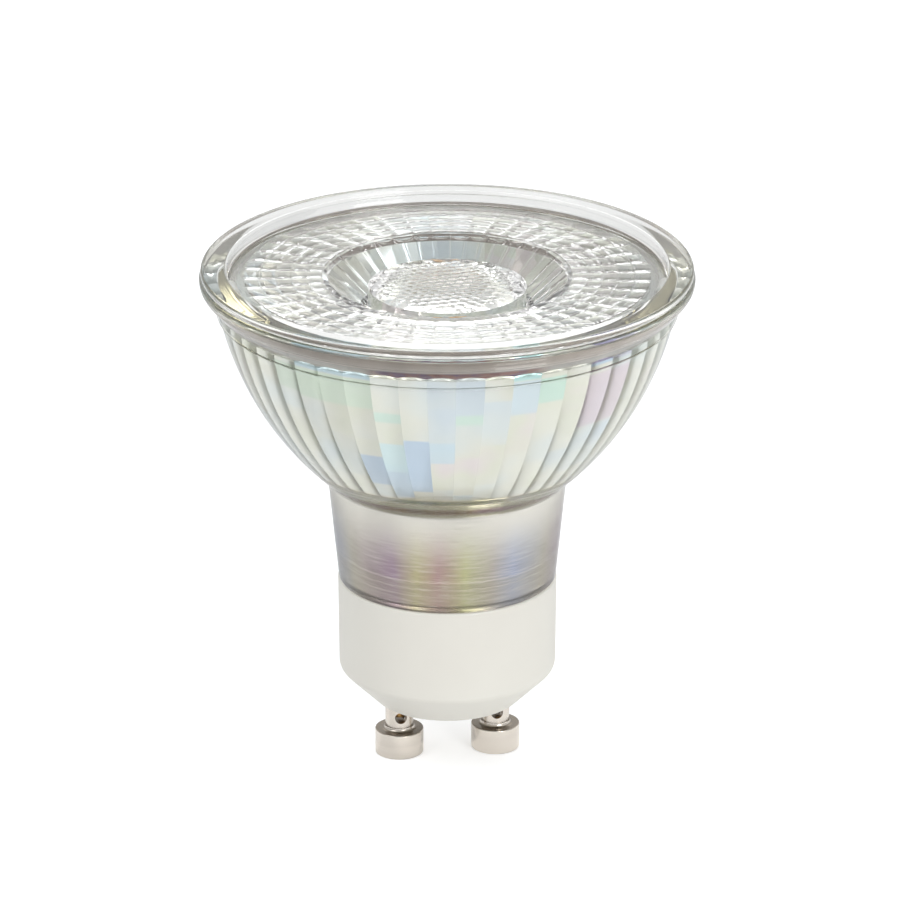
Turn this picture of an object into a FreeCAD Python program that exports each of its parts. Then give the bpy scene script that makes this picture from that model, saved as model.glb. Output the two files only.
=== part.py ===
# LED spotlight lamp with a pressed-glass reflector and a two-pin twist-lock base.
# Units are millimetres. Z points up along the lamp's axis, the pins lie along X, and the
# origin is the middle of the plane that the two pin heads stand on.
import FreeCAD
import Part

import math
import os

# Contact pins
pin_spacing = 10.0
pin_head_r = 2.5
pin_head_height = 2.66
pin_head_round = 0.12
pin_neck_r = 1.45
pin_neck_fillet = 0.35
pin_neck_height = 3.64
pin_shoulder_r = 1.9
pin_shoulder_height = 0.8
pin_flare_r = 1.85
pin_flare_height = 0.5
pin_bore_r = 0.62
pin_cross_height = 4.2
pin_fit = 0.03

# Base
base_r = 11.2
base_draft = 0.1
base_height = 13.5
base_cone_height = 3.6
base_corner_round = 0.9
base_bottom_round = 0.5
base_top_round = 0.35
base_floor = 2.4
base_wall = 2.5
spigot_height = 2.8
spigot_wall = 1.1
spigot_fit = 0.08
pin_boss_r = 2.2
pin_boss_height = 2.1
guide_rib_depth = 1.3
guide_rib_thickness = 0.9
guide_rib_height = 5.0
guide_rib_root = 0.3

# Glass reflector: neck, bowl and rim
neck_setback = 0.07
neck_flare = 1.07
neck_length = 10.8
neck_wall = 1.05
neck_edge_round = 0.2
neck_crease_round = 0.5
bowl_height = 18.0
bowl_radius = 32.9
bowl_wall = 1.75
ledge_height = 2.8
parting_step = 0.13
band_height = 0.9
rim_r = 25.0
rim_overhang = 1.94
rim_width = 2.8
rim_height = 3.7
rim_bead_r = 0.4
rim_groove_depth = 0.55
rim_under_r = 1.2
rim_under_sweep = 60.0
rim_knee_inset = 1.0
rim_knee_drop = 2.8
rim_edge_round = 0.3
lens_recess_depth = 1.04
lens_seat_width = 0.85

# Flutes pressed into the inside of the bowl
flute_count = 48
flute_depth = 0.12
flute_phase = -1.6
flute_arch_height = 1.4
flute_arch_rise = 0.4
flute_top_drop = 0.25
flute_foot_height = 0.6
flute_stock = 0.8
flute_stations = 6

# Front lens
lens_fit = 0.15
lens_plate = 1.2
facet_sectors = 45
facet_rings = 5
facet_phase = 1.2
facet_inner_r = 12.6
facet_margin = 1.55
facet_step = 0.06
facet_height = 0.2
facet_slope_width = 0.34
lenslet_pitch = 1.05
lenslet_turn = 7.5
lenslet_height = 0.12
lenslet_margin = 0.1
groove_outer_r = 12.2
groove_depth = 3.4
groove_floor = 0.25
boss_r = 8.0
boss_drop = 1.2
collimator_foot_r = 5.7
collimator_mouth_r = 9.3
collimator_bulge = 0.75
collimator_cavity_r = 4.9
collimator_cavity_top_r = 4.3
collimator_cavity_depth = 6.5
collimator_cavity_dome = 1.2
collimator_gap = 0.3

# Adhesive dabs that hold the lens
dab_angles = (-175.6, -17.6)
dab_r = 0.62
dab_inset = 0.2
dab_span = 6.0

# Light source and heat sink
sink_plate = 0.8
sink_wall = 0.8
sink_skirt = 8.9
sink_fit = 0.25
led_board_inset = 0.42
led_board_thickness = 1.0
led_length = 3.5
led_width = 2.8
led_thickness = 0.7
led_gap = 0.4
led_wall = 0.4
led_phosphor_depth = 0.35

# Driver board and the parts on it
board_thickness = 1.0
board_centre_y = -3.0
board_side_room = 0.9
board_top_gap = 1.5
board_fit = 0.1
hole_fit = 0.1
part_gap = 0.3
supply_pin_inset = 0.9
supply_pin_r = 0.4
supply_pin_overlap = 4.0
supply_pin_proud = 0.6
bush_wall = 0.8
bush_flange_width = 0.6
bush_flange_thickness = 0.6
bush_fit = 0.05
solder_r = 1.0
solder_height = 0.5
cap_overlap = 0.1
bulk_cap_lift = 6.9
bulk_cap_length = 11.5
bulk_cap_pitch = 3.5
output_cap_inset = 0.25
output_cap_clearance = 1.9
output_cap_step = 0.85
output_cap_length = 9.0
output_cap_pitch = 2.5
cap_lead_r = 0.3
cap_lead_drop = 1.2
cap_crimp_depth = 0.25
inductor_inset = 1.0
inductor_lead_gap = 1.1
inductor_step = 0.35
inductor_hub_step = 1.6
inductor_length = 5.5
inductor_flange = 0.9
winding_margin = 0.3
resistor_inset = 3.0
resistor_lift = 9.7
resistor_r = 1.1
resistor_length = 6.0
rectifier_x = 1.2
rectifier_lift = 5.4
rectifier_length = 4.7
rectifier_width = 3.8
rectifier_pitch = 2.5
ic_gap = 0.85
ic_lift = 13.4
ic_length = 4.9
ic_width = 3.9
ic_pitch = 1.27
package_thickness = 1.5
package_lead_reach = 1.1
package_lead_width = 0.4
package_lead_thickness = 0.2
package_lead_width_wide = 0.7
chip_length = 2.0
chip_width = 1.25
chip_thickness = 0.5
chip_x = (-5.2, -2.2, 0.8, 3.8)
chip_lift = 19.0

# Mains leads from the pins to the driver board
lead_r = 0.45
lead_bend = 1.1
lead_board_lift = 4.4
lead_tail = 0.8

# Radii and half widths, from the base and the rim inward
base_foot_r = pin_spacing / 2 + pin_head_r
base_bore_r = base_r - base_wall
neck_bottom_r = base_r - neck_setback
neck_top_r = neck_bottom_r + neck_flare
neck_inner_r = neck_bottom_r - neck_wall
spigot_r = neck_inner_r - spigot_fit
bowl_mouth_r = rim_r - rim_overhang
lens_recess_r = rim_r - rim_width
mouth_r = lens_recess_r - lens_seat_width
lens_r = lens_recess_r - lens_fit
facet_outer_r = lens_r - facet_margin
board_half_width = base_bore_r - board_side_room
supply_pin_x = board_half_width - supply_pin_inset
bulk_cap_r = board_half_width / 2 + cap_overlap
bulk_cap_x = bulk_cap_r - board_half_width
output_cap_r = bulk_cap_r - output_cap_step
output_cap_x = board_half_width - output_cap_inset - output_cap_r
inductor_r = output_cap_r - inductor_step
inductor_x = board_half_width - inductor_inset - inductor_r
inductor_hub_r = inductor_r - inductor_hub_step
inductor_lift = lead_board_lift + inductor_lead_gap + inductor_r
output_cap_lift = inductor_lift + inductor_r + output_cap_clearance
resistor_x = resistor_inset - board_half_width
ic_x = resistor_x + resistor_r + ic_gap + ic_length / 2

# Heights of the stack, from the pin heads up
base_bottom_z = pin_head_height + pin_neck_height
base_floor_z = base_bottom_z + base_floor
shoulder_z = base_bottom_z + base_height
spigot_top_z = shoulder_z + spigot_height
neck_top_z = shoulder_z + neck_length
ledge_z = neck_top_z + ledge_height
bowl_top_z = neck_top_z + bowl_height
band_top_z = bowl_top_z + band_height
rim_top_z = band_top_z + rim_height
lens_top_z = rim_top_z - lens_recess_depth
lens_seat_z = lens_top_z - lens_plate
sink_top_z = ledge_z + sink_plate
led_board_top_z = sink_top_z + led_board_thickness
board_front_y = board_centre_y + board_thickness / 2
board_back_y = board_centre_y - board_thickness / 2
supply_pin_y = board_front_y + supply_pin_r
board_height = ledge_z - bush_flange_thickness - board_top_gap - base_floor_z

AXIS = FreeCAD.Vector(0, 0, 1)
TINY = 1e-6


def point(x, z):
    return FreeCAD.Vector(x, 0, z)


def on_circle(centre, radius, degrees):
    angle = math.radians(degrees)
    return (centre[0] + radius * math.cos(angle), centre[1] + radius * math.sin(angle))


def outline(start, *steps):
    """Face in the XZ plane: each step is a point (x, z) for a line, or (through, end) for an arc."""
    edges = []
    here = point(*start)
    for step in steps + (start,):
        if isinstance(step[0], tuple):
            end = point(*step[1])
            edges.append(Part.Arc(here, point(*step[0]), end).toShape())
        else:
            end = point(*step)
            if here.distanceToPoint(end) > TINY:
                edges.append(Part.makeLine(here, end))
        here = end
    return Part.Face(Part.Wire(edges))


def turned(start, *steps):
    """Solid of revolution about the lamp's axis."""
    return outline(start, *steps).revolve(FreeCAD.Vector(), AXIS, 360)


def upright_cylinder(x, y, bottom, top, radius):
    return Part.makeCylinder(radius, top - bottom, FreeCAD.Vector(x, y, bottom))


def block(x_centre, y_low, z_centre, x_size, y_size, z_size):
    corner = FreeCAD.Vector(x_centre - x_size / 2, y_low, z_centre - z_size / 2)
    return Part.makeBox(x_size, y_size, z_size, corner)


def round_rings(shape, rings, radius):
    """Round the circular edges about the axis that lie at the given (radius, height) pairs."""
    chosen = []
    for edge in shape.Edges:
        if not isinstance(edge.Curve, Part.Circle):
            continue
        centre = edge.Curve.Center
        for ring_r, ring_z in rings:
            on_axis = math.hypot(centre.x, centre.y) < TINY
            if on_axis and abs(edge.Curve.Radius - ring_r) < TINY and abs(centre.z - ring_z) < TINY:
                chosen.append(edge)
    return shape.makeFillet(radius, chosen)


def bent_wire(corners, radius, bend):
    """Round wire along straight runs, with a tangent arc at each inner corner."""
    here = corners[0]
    edges = []
    for corner, following in zip(corners[1:-1], corners[2:]):
        inward = (corner - here).normalize()
        outward = (following - corner).normalize()
        turn = inward.getAngle(outward)
        reach = bend * math.tan(turn / 2)
        arc_start = corner - inward * reach
        arc_end = corner + outward * reach
        towards_centre = (outward - inward).normalize()
        sagitta = bend * (1 / math.cos(turn / 2) - 1)
        edges.append(Part.makeLine(here, arc_start))
        edges.append(Part.Arc(arc_start, corner + towards_centre * sagitta, arc_end).toShape())
        here = arc_end
    edges.append(Part.makeLine(here, corners[-1]))
    start_direction = corners[1] - corners[0]
    section = Part.Wire(Part.makeCircle(radius, corners[0], start_direction))
    return Part.Wire(edges).makePipeShell([section], True, False)


def arc_centre(start, end, radius):
    """Centre (x, z) of the arc that bulges outward and down between two points."""
    half_x = (end[0] - start[0]) / 2
    half_z = (end[1] - start[1]) / 2
    half_chord = math.hypot(half_x, half_z)
    offset = math.sqrt(radius ** 2 - half_chord ** 2) / half_chord
    return (start[0] + half_x - half_z * offset, start[1] + half_z + half_x * offset)


bowl_centre = arc_centre((neck_top_r, neck_top_z), (bowl_mouth_r, bowl_top_z), bowl_radius)


def bowl_surface_r(z, inset=0.0):
    """Radius of the bowl's outside at a height, or of the surface that lies inset within it."""
    return bowl_centre[0] + math.sqrt((bowl_radius - inset) ** 2 - (bowl_centre[1] - z) ** 2)


sink_flange_r = bowl_surface_r(ledge_z, bowl_wall) - sink_fit
led_board_r = sink_flange_r - led_board_inset


def make_pin(side):
    """Headed contact pin: shank through the base, axial bore for the lead and a cross hole."""
    x = side * pin_spacing / 2
    flare_z = base_floor_z + pin_boss_height
    top_z = flare_z + pin_flare_height
    shoulder_top_z = base_bottom_z + pin_shoulder_height
    pin = turned(
        (0, 0),
        (pin_head_r, 0),
        (pin_head_r, pin_head_height),
        (pin_neck_r, pin_head_height),
        (pin_neck_r, base_bottom_z),
        (pin_shoulder_r, base_bottom_z),
        (pin_shoulder_r, shoulder_top_z),
        (pin_neck_r, shoulder_top_z),
        (pin_neck_r, flare_z),
        (pin_flare_r, flare_z),
        (pin_neck_r, top_z),
        (0, top_z),
    )
    pin = round_rings(pin, [(pin_head_r, 0), (pin_head_r, pin_head_height)], pin_head_round)
    pin = round_rings(pin, [(pin_neck_r, pin_head_height)], pin_neck_fillet)
    bore_bottom_z = pin_cross_height - pin_bore_r
    bore = upright_cylinder(0, 0, bore_bottom_z, top_z, pin_bore_r)
    cross = Part.makeCylinder(
        pin_bore_r,
        4 * pin_neck_r,
        FreeCAD.Vector(0, -2 * pin_neck_r, pin_cross_height),
        FreeCAD.Vector(0, 1, 0),
    )
    pin = pin.cut([bore, cross])
    pin.translate(FreeCAD.Vector(x, 0, 0))
    return pin


def make_base():
    """Moulded cap: cylinder, cone, spigot for the glass neck, pin bosses and board guides."""
    bottom_r = base_r - base_draft
    cone_top_z = base_bottom_z + base_cone_height
    base = turned(
        (0, base_bottom_z),
        (base_foot_r, base_bottom_z),
        (bottom_r, cone_top_z),
        (base_r, shoulder_z),
        (spigot_r, shoulder_z),
        (spigot_r, spigot_top_z),
        (spigot_r - spigot_wall, spigot_top_z),
        (base_bore_r, base_floor_z),
        (0, base_floor_z),
    )
    base = round_rings(base, [(bottom_r, cone_top_z)], base_corner_round)
    base = round_rings(base, [(base_foot_r, base_bottom_z)], base_bottom_round)
    base = round_rings(base, [(base_r, shoulder_z)], base_top_round)
    for side in (-1, 1):
        x = side * pin_spacing / 2
        boss_top_z = base_floor_z + pin_boss_height
        base = base.fuse(upright_cylinder(x, 0, base_floor_z - guide_rib_root, boss_top_z, pin_boss_r))
        base = base.fuse(make_guide(side))
        hole = upright_cylinder(x, 0, base_bottom_z, boss_top_z, pin_neck_r + pin_fit)
        recess_top_z = base_bottom_z + pin_shoulder_height
        recess = upright_cylinder(x, 0, base_bottom_z, recess_top_z, pin_shoulder_r + pin_fit)
        base = base.cut([hole, recess])
    return base


def make_guide(side):
    """Pair of ribs inside the base that hold one edge of the driver board."""
    slot_half = board_thickness / 2 + board_fit
    bottom_z = base_floor_z - guide_rib_root
    height = guide_rib_root + guide_rib_height
    inner_x = board_half_width + board_fit - guide_rib_depth
    ribs = []
    for y in (board_centre_y - slot_half - guide_rib_thickness, board_centre_y + slot_half):
        rib_x = side * (inner_x + base_r / 2)
        ribs.append(block(rib_x, y, bottom_z + height / 2, base_r, guide_rib_thickness, height))
    room = upright_cylinder(0, 0, bottom_z, bottom_z + height, base_bore_r + guide_rib_root)
    return ribs[0].fuse(ribs[1]).common(room)


def make_flute_section(z, cusp_r):
    """Closed wire of shallow arcs that bulge outward and meet in sharp cusps."""
    step = 2 * math.pi / flute_count
    arcs = []
    for flute in range(flute_count):
        ends = []
        for turn, r in ((-0.5, cusp_r), (0, cusp_r + flute_depth), (0.5, cusp_r)):
            angle = (flute + turn) * step + math.radians(flute_phase)
            ends.append(FreeCAD.Vector(r * math.cos(angle), r * math.sin(angle), z))
        arcs.append(Part.Arc(*ends).toShape())
    return Part.Wire(arcs)


def make_flutes():
    """Solid whose wall carries the flutes; it leaves the smooth mouth in a row of arches."""
    arch_top_z = lens_seat_z - flute_top_drop
    full_z = arch_top_z - flute_arch_height
    foot_z = ledge_z + flute_foot_height
    sections = []
    for station in range(flute_stations + 1):
        z = full_z + (foot_z - full_z) * station / flute_stations
        sections.append(make_flute_section(z, bowl_surface_r(z, bowl_wall)))
    run_in_r = mouth_r - flute_arch_rise
    arches = Part.makeLoft([make_flute_section(arch_top_z, run_in_r), sections[0]], True, True)
    return arches.fuse(Part.makeLoft(sections, True, True))


def make_reflector():
    """Pressed-glass reflector: tapered neck, curved bowl with inside flutes and a beaded rim."""
    neck_taper = (neck_top_r - neck_bottom_r) / neck_length
    ledge_inner_r = neck_inner_r + neck_taper * (ledge_z - shoulder_z)
    ledge_outer_r = bowl_surface_r(ledge_z, bowl_wall)
    flute_foot_z = ledge_z + flute_foot_height
    flute_full_z = lens_seat_z - flute_top_drop - flute_arch_height
    bowl_mid_z = (neck_top_z + bowl_top_z) / 2
    band_r = bowl_mouth_r + parting_step
    widest_z = rim_top_z - 3 * rim_bead_r
    under_centre = (rim_r - rim_under_r, widest_z)
    lower_centre = (rim_r - rim_bead_r, widest_z)
    upper_centre = (rim_r - rim_groove_depth, rim_top_z - rim_bead_r)
    glass = turned(
        (neck_inner_r, shoulder_z),
        (neck_bottom_r, shoulder_z),
        (neck_top_r, neck_top_z),
        ((bowl_surface_r(bowl_mid_z), bowl_mid_z), (bowl_mouth_r, bowl_top_z)),
        (band_r, bowl_top_z + parting_step),
        (band_r, band_top_z),
        (rim_r - rim_knee_inset, rim_top_z - rim_knee_drop),
        on_circle(under_centre, rim_under_r, -rim_under_sweep),
        (on_circle(under_centre, rim_under_r, -rim_under_sweep / 2), (rim_r, widest_z)),
        (on_circle(lower_centre, rim_bead_r, 45), on_circle(lower_centre, rim_bead_r, 90)),
        on_circle(upper_centre, rim_bead_r, -90),
        (on_circle(upper_centre, rim_bead_r, 0), on_circle(upper_centre, rim_bead_r, 90)),
        (lens_recess_r, rim_top_z),
        (lens_recess_r, lens_seat_z),
        (mouth_r, lens_seat_z),
        (mouth_r, flute_full_z),
        (mouth_r - flute_stock, flute_full_z),
        (ledge_outer_r - flute_stock, flute_foot_z),
        (ledge_outer_r, flute_foot_z),
        (ledge_outer_r, ledge_z),
        (ledge_inner_r, ledge_z),
    )
    glass = round_rings(glass, [(neck_top_r, neck_top_z)], neck_crease_round)
    glass = round_rings(glass, [(neck_bottom_r, shoulder_z)], neck_edge_round)
    glass = round_rings(glass, [(lens_recess_r, rim_top_z)], rim_edge_round)
    return glass.cut(make_flutes())


def flat_face(corners):
    return Part.Face(Part.makePolygon(corners + [corners[0]]))


def walls_between(lower, upper):
    """Flat faces that join two closed loops of corners."""
    count = len(lower)
    faces = []
    for index in range(count):
        following = (index + 1) % count
        faces.append(flat_face([lower[index], lower[following], upper[following], upper[index]]))
    return faces


def patch_loops(outlines):
    """Closed loops of corners round a patch of cells, outer loop first."""
    def spot(corner):
        return (round(corner.x, 5), round(corner.y, 5))

    edges = {}
    for corners in outlines:
        for start, end in zip(corners, corners[1:] + corners[:1]):
            edges[spot(start), spot(end)] = start
    following = {start: end for start, end in edges if (end, start) not in edges}
    loops = []
    while following:
        first, here = following.popitem()
        loop = [edges[first, here]]
        while here != first:
            ahead = following.pop(here)
            loop.append(edges[here, ahead])
            here = ahead
        loops.append(loop)
    return sorted(loops, key=lambda loop: -max(corner.Length for corner in loop))


def raised_patch(outlines, crowns, foot_z):
    """Solid made of a patch of cells: their crowns on top, a flat foot and upright edges."""
    faces = list(crowns)
    foot = None
    for loop in patch_loops(outlines):
        lower = [FreeCAD.Vector(corner.x, corner.y, foot_z) for corner in loop]
        faces += walls_between(lower, loop)
        foot = flat_face(lower) if foot is None else foot.cut(flat_face(lower)).Faces[0]
    shell = Part.Compound(faces + [foot])
    shell.sewShape()
    return Part.makeSolid(shell.Shells[0])


def make_facet_ring():
    """Rings of pillows: each has a flat crown and four sloping sides that end in the valleys."""
    valley_z = lens_top_z + facet_step
    ring_width = (facet_outer_r - facet_inner_r) / facet_rings
    half = math.pi / facet_sectors
    outlines = []
    crowns = []
    for ring in range(facet_rings):
        inner_r = facet_inner_r + ring * ring_width
        outer_r = inner_r + ring_width
        for sector in range(facet_sectors):
            middle = (2 * sector + 1) * half + math.radians(facet_phase)
            levels = []
            for inset, z in ((0, valley_z), (facet_slope_width, valley_z + facet_height)):
                corners = []
                for u, side in (
                    (inner_r * math.cos(half) + inset, -1),
                    (outer_r * math.cos(half) - inset, -1),
                    (outer_r * math.cos(half) - inset, 1),
                    (inner_r * math.cos(half) + inset, 1),
                ):
                    v = side * (u * math.tan(half) - inset / math.cos(half))
                    x = u * math.cos(middle) - v * math.sin(middle)
                    y = u * math.sin(middle) + v * math.cos(middle)
                    corners.append(FreeCAD.Vector(x, y, z))
                levels.append(corners)
            outlines.append(levels[0])
            crowns += walls_between(levels[0], levels[1]) + [flat_face(levels[1])]
    return raised_patch(outlines, crowns, lens_top_z)


def make_honeycomb():
    """Six-sided lenslets in staggered rows on top of the raised centre."""
    boss_z = lens_top_z - boss_drop
    valley_z = boss_z + facet_step
    corner_r = lenslet_pitch / math.sqrt(3)
    row_pitch = lenslet_pitch * math.sqrt(3) / 2
    reach = int(boss_r / row_pitch) + 1
    outlines = []
    crowns = []
    for row in range(-reach, reach + 1):
        y = row * row_pitch
        for column in range(-reach, reach + 1):
            x = (column + (row % 2) / 2) * lenslet_pitch
            if math.hypot(x, y) + corner_r > boss_r - lenslet_margin:
                continue
            corners = []
            for turn in range(6):
                angle = math.pi * (2 * turn + 1) / 6
                corner_x = x + corner_r * math.cos(angle)
                corners.append(FreeCAD.Vector(corner_x, y + corner_r * math.sin(angle), valley_z))
            apex = FreeCAD.Vector(x, y, valley_z + lenslet_height)
            outlines.append(corners)
            crowns += [flat_face([a, b, apex]) for a, b in zip(corners, corners[1:] + corners[:1])]
    patch = raised_patch(outlines, crowns, boss_z)
    patch.rotate(FreeCAD.Vector(), AXIS, lenslet_turn)
    return patch


def make_groove():
    """Room of the groove: flat-sided outside, in line with the facets, and round at the boss."""
    groove_z = lens_top_z - groove_depth
    half = math.pi / facet_sectors
    loops = []
    for corner_r, z in (
        ((boss_r + groove_floor) / math.cos(half), groove_z),
        (groove_outer_r, lens_top_z),
    ):
        angles = [2 * half * sector + math.radians(facet_phase) for sector in range(facet_sectors)]
        corners = [FreeCAD.Vector(corner_r * math.cos(a), corner_r * math.sin(a), z) for a in angles]
        loops.append(Part.makePolygon(corners + corners[:1]))
    room = Part.makeLoft(loops, True, True)
    return room.cut(upright_cylinder(0, 0, groove_z, lens_top_z - boss_drop, boss_r))


def make_lens():
    """Clear moulded lens: flat plate with facets, conical groove, raised boss and collimator."""
    groove_z = lens_top_z - groove_depth
    groove_run = groove_outer_r - boss_r
    slope = math.atan2(groove_depth, groove_run)
    foot_z = led_board_top_z + collimator_gap
    under_r = boss_r + (lens_plate * math.sin(slope))
    under_z = groove_z - lens_plate * math.cos(slope)
    collimator_top_z = under_z + (collimator_mouth_r - under_r) * math.tan(slope)
    plate_under_r = under_r + (lens_seat_z - under_z) / math.tan(slope)
    waist_r = (collimator_foot_r + collimator_mouth_r) / 2 + collimator_bulge
    waist_z = (foot_z + collimator_top_z) / 2
    cavity_top_z = foot_z + collimator_cavity_depth
    dome = collimator_cavity_dome
    dome_r = (collimator_cavity_top_r ** 2 + dome ** 2) / (2 * dome)
    dome_centre = (0, cavity_top_z + dome - dome_r)
    dome_half = math.degrees(math.asin(collimator_cavity_top_r / dome_r)) / 2
    lens = turned(
        (0, lens_top_z),
        (lens_r, lens_top_z),
        (lens_r, lens_seat_z),
        (plate_under_r, lens_seat_z),
        (collimator_mouth_r, collimator_top_z),
        ((waist_r, waist_z), (collimator_foot_r, foot_z)),
        (collimator_cavity_r, foot_z),
        (collimator_cavity_top_r, cavity_top_z),
        (on_circle(dome_centre, dome_r, 90 - dome_half), on_circle(dome_centre, dome_r, 90)),
    )
    return lens.cut(make_groove()).fuse([make_facet_ring(), make_honeycomb()])


def make_lens_adhesive():
    """Short beads of clear adhesive in the corner between the lens and the rim."""
    room = upright_cylinder(0, 0, lens_top_z, rim_top_z + dab_r, lens_recess_r)
    track_r = lens_recess_r - dab_inset
    dabs = []
    for angle in dab_angles:
        start = angle - dab_span / 2
        circle = Part.makeCircle(dab_r, point(track_r, lens_top_z), FreeCAD.Vector(0, 1, 0))
        section = Part.Face(Part.Wire(circle))
        section.rotate(FreeCAD.Vector(), AXIS, start)
        bead = section.revolve(FreeCAD.Vector(), AXIS, dab_span)
        for end in (start, start + dab_span):
            ball = Part.makeSphere(dab_r, point(track_r, lens_top_z))
            ball.rotate(FreeCAD.Vector(), AXIS, end)
            bead = bead.fuse(ball)
        dabs.append(bead.common(room))
    return Part.Compound(dabs)


def supply_positions():
    return [(side * supply_pin_x, supply_pin_y) for side in (-1, 1)]


def make_heat_sink():
    """Aluminium cup: its flange lies on the glass ledge and its skirt reaches down the neck."""
    skirt_bottom_z = ledge_z - sink_skirt
    taper = (neck_top_r - neck_bottom_r) / neck_length
    skirt_bottom_r = neck_inner_r + taper * (skirt_bottom_z - shoulder_z) - sink_fit
    skirt_top_r = skirt_bottom_r + taper * sink_skirt
    sink = turned(
        (0, ledge_z),
        (skirt_top_r - sink_wall, ledge_z),
        (skirt_bottom_r - sink_wall, skirt_bottom_z),
        (skirt_bottom_r, skirt_bottom_z),
        (skirt_top_r, ledge_z),
        (sink_flange_r, ledge_z),
        (sink_flange_r, sink_top_z),
        (0, sink_top_z),
    )
    bush_r = supply_pin_r + bush_fit + bush_wall
    for x, y in supply_positions():
        sink = sink.cut(upright_cylinder(x, y, ledge_z, sink_top_z, bush_r))
    return sink


def make_lead_bushes():
    """Insulating sleeves that carry the supply pins through the heat sink."""
    bushes = []
    bore_r = supply_pin_r + bush_fit
    body_r = bore_r + bush_wall
    for x, y in supply_positions():
        flange_bottom_z = ledge_z - bush_flange_thickness
        sleeve = upright_cylinder(x, y, flange_bottom_z, sink_top_z, body_r)
        flange = upright_cylinder(x, y, flange_bottom_z, ledge_z, body_r + bush_flange_width)
        bore = upright_cylinder(x, y, flange_bottom_z, sink_top_z, bore_r)
        bushes.append(sleeve.fuse(flange).cut(bore))
    return Part.Compound(bushes)


def make_led_board():
    board = upright_cylinder(0, 0, sink_top_z, led_board_top_z, led_board_r)
    for x, y in supply_positions():
        hole = upright_cylinder(x, y, sink_top_z, led_board_top_z, supply_pin_r + hole_fit)
        board = board.cut(hole)
    return board


def led_centres():
    x = (led_length + led_gap) / 2
    y = (led_width + led_gap) / 2
    return [(x, y), (-x, y), (-x, -y), (x, -y)]


def led_block(x, y, z, shrink, height):
    length = led_length - 2 * shrink
    width = led_width - 2 * shrink
    corner = FreeCAD.Vector(x - length / 2, y - width / 2, z)
    return Part.makeBox(length, width, height, corner)


def make_led_packages():
    packages = []
    for x, y in led_centres():
        body = led_block(x, y, led_board_top_z, 0, led_thickness)
        recess_z = led_board_top_z + led_thickness - led_phosphor_depth
        packages.append(body.cut(led_block(x, y, recess_z, led_wall, led_phosphor_depth)))
    return Part.Compound(packages)


def make_led_phosphors():
    z = led_board_top_z + led_thickness - led_phosphor_depth
    return Part.Compound([led_block(x, y, z, led_wall, led_phosphor_depth) for x, y in led_centres()])


def make_supply_pin(side):
    bottom_z = base_floor_z + board_height - supply_pin_overlap
    top_z = led_board_top_z + supply_pin_proud
    return upright_cylinder(side * supply_pin_x, supply_pin_y, bottom_z, top_z, supply_pin_r)


def make_supply_solder():
    """Solder fillets round the supply pins on the light-source board."""
    fillets = []
    for x, y in supply_positions():
        cone = Part.makeCone(solder_r, supply_pin_r, solder_height, FreeCAD.Vector(x, y, led_board_top_z))
        top_z = led_board_top_z + solder_height
        fillets.append(cone.cut(upright_cylinder(x, y, led_board_top_z, top_z, supply_pin_r)))
    return Part.Compound(fillets)


def board_hole(x, z, radius):
    start = FreeCAD.Vector(x, board_back_y, z)
    return Part.makeCylinder(radius + hole_fit, board_thickness, start, FreeCAD.Vector(0, 1, 0))


def cap_lead_places(x, lift, pitch):
    z = base_floor_z + lift - cap_lead_drop
    return [(x - pitch / 2, z), (x + pitch / 2, z)]


def resistor_lead_places():
    low = base_floor_z + resistor_lift - cap_lead_drop
    high = base_floor_z + resistor_lift + resistor_length + cap_lead_drop
    return [(resistor_x, low), (resistor_x, high)]


def make_driver_board():
    """Board that stands on the base floor between the guide ribs, with its lead holes."""
    centre_z = base_floor_z + board_height / 2
    board = block(0, board_back_y, centre_z, 2 * board_half_width, board_thickness, board_height)
    places = cap_lead_places(bulk_cap_x, bulk_cap_lift, bulk_cap_pitch)
    places += cap_lead_places(output_cap_x, output_cap_lift, output_cap_pitch)
    places += resistor_lead_places()
    holes = [board_hole(x, z, cap_lead_r) for x, z in places]
    for side in (-1, 1):
        holes.append(board_hole(side * pin_spacing / 2, base_floor_z + lead_board_lift, lead_r))
    return board.cut(holes)


def make_capacitor(x, lift, radius, length, pitch):
    """Upright can in front of the board, crimped near its foot, with its leads bent to the board."""
    y = board_front_y + part_gap + radius
    foot_z = base_floor_z + lift
    top_z = foot_z + length
    crimp_z = foot_z + length / 7
    can = turned(
        (0, foot_z),
        (radius, foot_z),
        (radius, crimp_z - 2 * cap_crimp_depth),
        ((radius - cap_crimp_depth, crimp_z), (radius, crimp_z + 2 * cap_crimp_depth)),
        (radius, top_z),
        (0, top_z),
    )
    can = round_rings(can, [(radius, top_z), (radius, foot_z)], cap_crimp_depth)
    can.translate(FreeCAD.Vector(x, y, 0))
    for lead_x, lead_z in cap_lead_places(x, lift, pitch):
        corners = [
            FreeCAD.Vector(lead_x, y, foot_z + cap_crimp_depth),
            FreeCAD.Vector(lead_x, y, lead_z),
            FreeCAD.Vector(lead_x, board_back_y - lead_tail, lead_z),
        ]
        can = can.fuse(bent_wire(corners, cap_lead_r, 2 * cap_lead_r))
    return can


def facing_board(shape, x, lift):
    """Turn a part modelled along Z so that it stands out from the front of the board."""
    shape.rotate(FreeCAD.Vector(), FreeCAD.Vector(1, 0, 0), -90)
    shape.translate(FreeCAD.Vector(x, board_front_y, base_floor_z + lift))
    return shape


def make_inductor_core():
    top = inductor_length - inductor_flange
    core = turned(
        (0, 0),
        (inductor_r, 0),
        (inductor_r, inductor_flange),
        (inductor_hub_r, inductor_flange),
        (inductor_hub_r, top),
        (inductor_r, top),
        (inductor_r, inductor_length),
        (0, inductor_length),
    )
    return facing_board(core, inductor_x, inductor_lift)


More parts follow.
